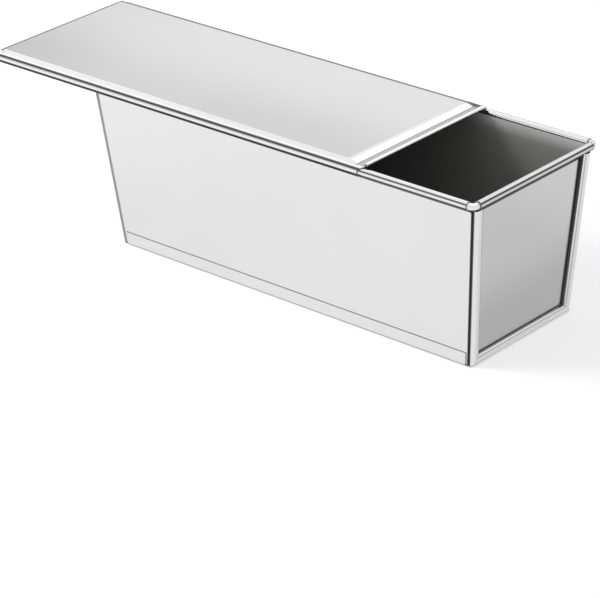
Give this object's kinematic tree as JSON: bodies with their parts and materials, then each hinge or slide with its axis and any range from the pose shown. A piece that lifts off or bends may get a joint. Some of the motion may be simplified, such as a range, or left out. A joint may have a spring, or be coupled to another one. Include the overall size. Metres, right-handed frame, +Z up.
{
  "type": "pullman loaf pan",
  "caption": "Long lidded loaf pan of folded sheet steel with a wired rim; the lid's side channels slide along the rim.",
  "frame": {"origin": "middle of the base's underside, on the surface that the pan stands on", "axes": "+X along the pan towards the end that the open lid leaves bare, +Y across it, +Z up"},
  "size_m": [0.417, 0.1264, 0.121],
  "materials": {
    "side_sheet": "satin bright sheet",
    "end_sheet": "satin bright sheet",
    "base_sheet": "satin bright sheet",
    "wire": "drawn wire, smooth",
    "lid_sheet": "satin bright sheet"
  },
  "bodies": {
    "pan": {"front_wall": "side_sheet", "back_wall": "side_sheet", "left_end": "end_sheet", "right_end": "end_sheet", "base_tray": "base_sheet", "rim_wire": "wire"},
    "lid": {"lid": "lid_sheet"}
  },
  "joints": [
    {"name": "lid_slide", "type": "slide", "parent": "pan", "child": "lid", "axis": [-1, 0, 0], "range_m": [-0.087, 0.251]}
  ]
}
